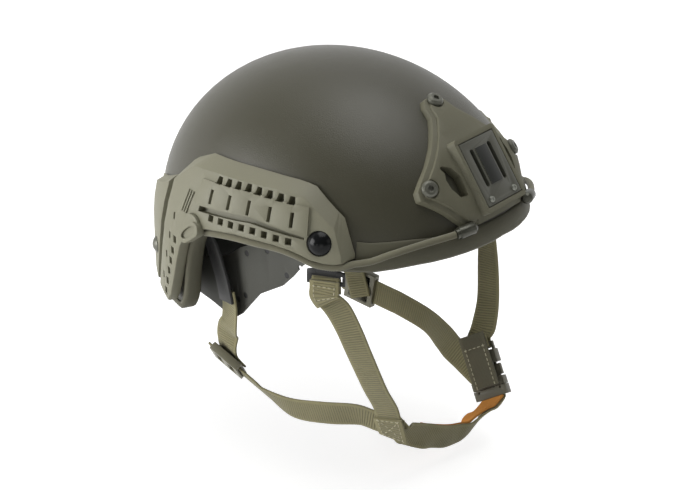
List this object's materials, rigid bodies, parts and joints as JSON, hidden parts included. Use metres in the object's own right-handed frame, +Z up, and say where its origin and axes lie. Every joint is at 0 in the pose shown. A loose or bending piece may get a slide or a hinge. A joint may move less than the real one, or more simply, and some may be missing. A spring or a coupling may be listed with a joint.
{
  "type": "combat helmet",
  "caption": "High-cut ballistic helmet with accessory rails, front mounting shroud, bungees, padded liner, rear fit dial and buckled webbing chin strap harness.",
  "frame": {"origin": "centre of the shell at its widest section, where the head is held", "axes": "+Z up through the crown, -Y to the front (brow and shroud), +X to the wearer's left"},
  "size_m": [0.2408, 0.2814, 0.2767],
  "materials": {
    "shell": "fine gritty matt coating, grey olive",
    "trim": "matt moulded rubber edge, olive",
    "rail": "moulded nylon, satin, olive",
    "hook": "moulded nylon, olive",
    "shroud": "moulded, matt olive",
    "plate": "hard coated, matt dark olive",
    "bolt": "domed, matt olive coat",
    "black_bolt": "domed, glossy black",
    "clip": "coated barrel, dark olive grey",
    "blacked_steel": "blacked, dull",
    "cord": "woven sleeve over elastic, olive",
    "pad": "brushed loop cloth over foam",
    "harness_plastic": "moulded, black",
    "band": "moulded sheet, dark grey",
    "knob": "ribbed grip, black",
    "webbing": "ribbed nylon webbing, olive tan",
    "panel": "stitched cloth panel, grey olive",
    "suede": "suede, orange tan",
    "buckle": "moulded acetal, olive brown"
  },
  "bodies": {
    "helmet": {"shell": "shell", "rim_trim": "trim", "rail_right": "rail", "rail_left": "rail", "rail_bolt_right": "black_bolt", "rail_bolt_left": "black_bolt", "rail_nut_right": "blacked_steel", "rail_nut_left": "blacked_steel", "rear_bolt_right": "bolt", "rear_bolt_left": "bolt", "rear_nut_right": "blacked_steel", "rear_nut_left": "blacked_steel", "bungee_hook_right": "hook", "bungee_hook_left": "hook", "bungee_right": "cord", "bungee_left": "cord", "bungee_clip_right": "clip", "bungee_clip_left": "clip", "shroud_frame": "shroud", "shroud_plate": "plate", "shroud_bolt_top": "bolt", "shroud_bolt_right": "bolt", "shroud_bolt_left": "bolt", "shroud_nut_top": "blacked_steel", "shroud_nut_right": "blacked_steel", "shroud_nut_left": "blacked_steel", "plate_screw_right": "blacked_steel", "plate_screw_left": "blacked_steel", "pad_crown": "pad", "pad_front": "pad", "pad_right": "pad", "pad_left": "pad", "pad_rear_right": "pad", "pad_rear_left": "pad", "wing_right": "band", "wing_left": "band", "hanger_right": "harness_plastic", "hanger_left": "harness_plastic", "drop_strap_right": "webbing", "drop_strap_left": "webbing", "front_anchor_right": "harness_plastic", "front_anchor_left": "harness_plastic", "front_strap_right": "webbing", "front_strap_left": "webbing", "rear_strap_right": "webbing", "rear_strap_left": "webbing", "join_patch": "webbing", "side_tab": "panel", "chin_strap": "webbing", "chin_pad": "suede", "buckle_socket": "buckle", "buckle_plug": "buckle"},
    "fit_yoke": {"nape_yoke": "band", "nape_pad": "pad"},
    "fit_dial": {"dial_knob": "knob"},
    "adjuster_right": {"rear_glide_right": "buckle"},
    "adjuster_left": {"rear_glide_left": "buckle"},
    "prong_front": {"buckle_prong_front": "buckle"},
    "prong_rear": {"buckle_prong_rear": "buckle"}
  },
  "joints": [
    {"name": "yoke_slide", "type": "slide", "parent": "helmet", "child": "fit_yoke", "axis": [0, -1, 0], "range_m": [0, 0.01]},
    {"name": "dial_turn", "type": "hinge", "parent": "fit_yoke", "child": "fit_dial", "pos_m": [0, 0.1228, -0.058], "axis": [0, -1, 0], "range_deg": [0, 300]},
    {"name": "adjuster_right_slide", "type": "slide", "parent": "helmet", "child": "adjuster_right", "axis": [0.0761, -0.9014, -0.4263], "range_m": [0, 0.012]},
    {"name": "adjuster_left_slide", "type": "slide", "parent": "helmet", "child": "adjuster_left", "axis": [0, -0.9948, -0.1022], "range_m": [0, 0.012]},
    {"name": "prong_front_press", "type": "hinge", "parent": "helmet", "child": "prong_front", "pos_m": [0.05488, -0.10378, -0.12504], "axis": [-0.8992, -0.1848, 0.3965], "range_deg": [0, 7], "stiffness_Nm_per_rad": 0.3},
    {"name": "prong_rear_press", "type": "hinge", "parent": "helmet", "child": "prong_rear", "pos_m": [0.04867, -0.09025, -0.13281], "axis": [0.8992, 0.1848, -0.3965], "range_deg": [0, 7], "stiffness_Nm_per_rad": 0.3}
  ],
  "couplings": [
    {"joint": "dial_turn", "follows": "yoke_slide", "rad_per_m": 523.5}
  ]
}
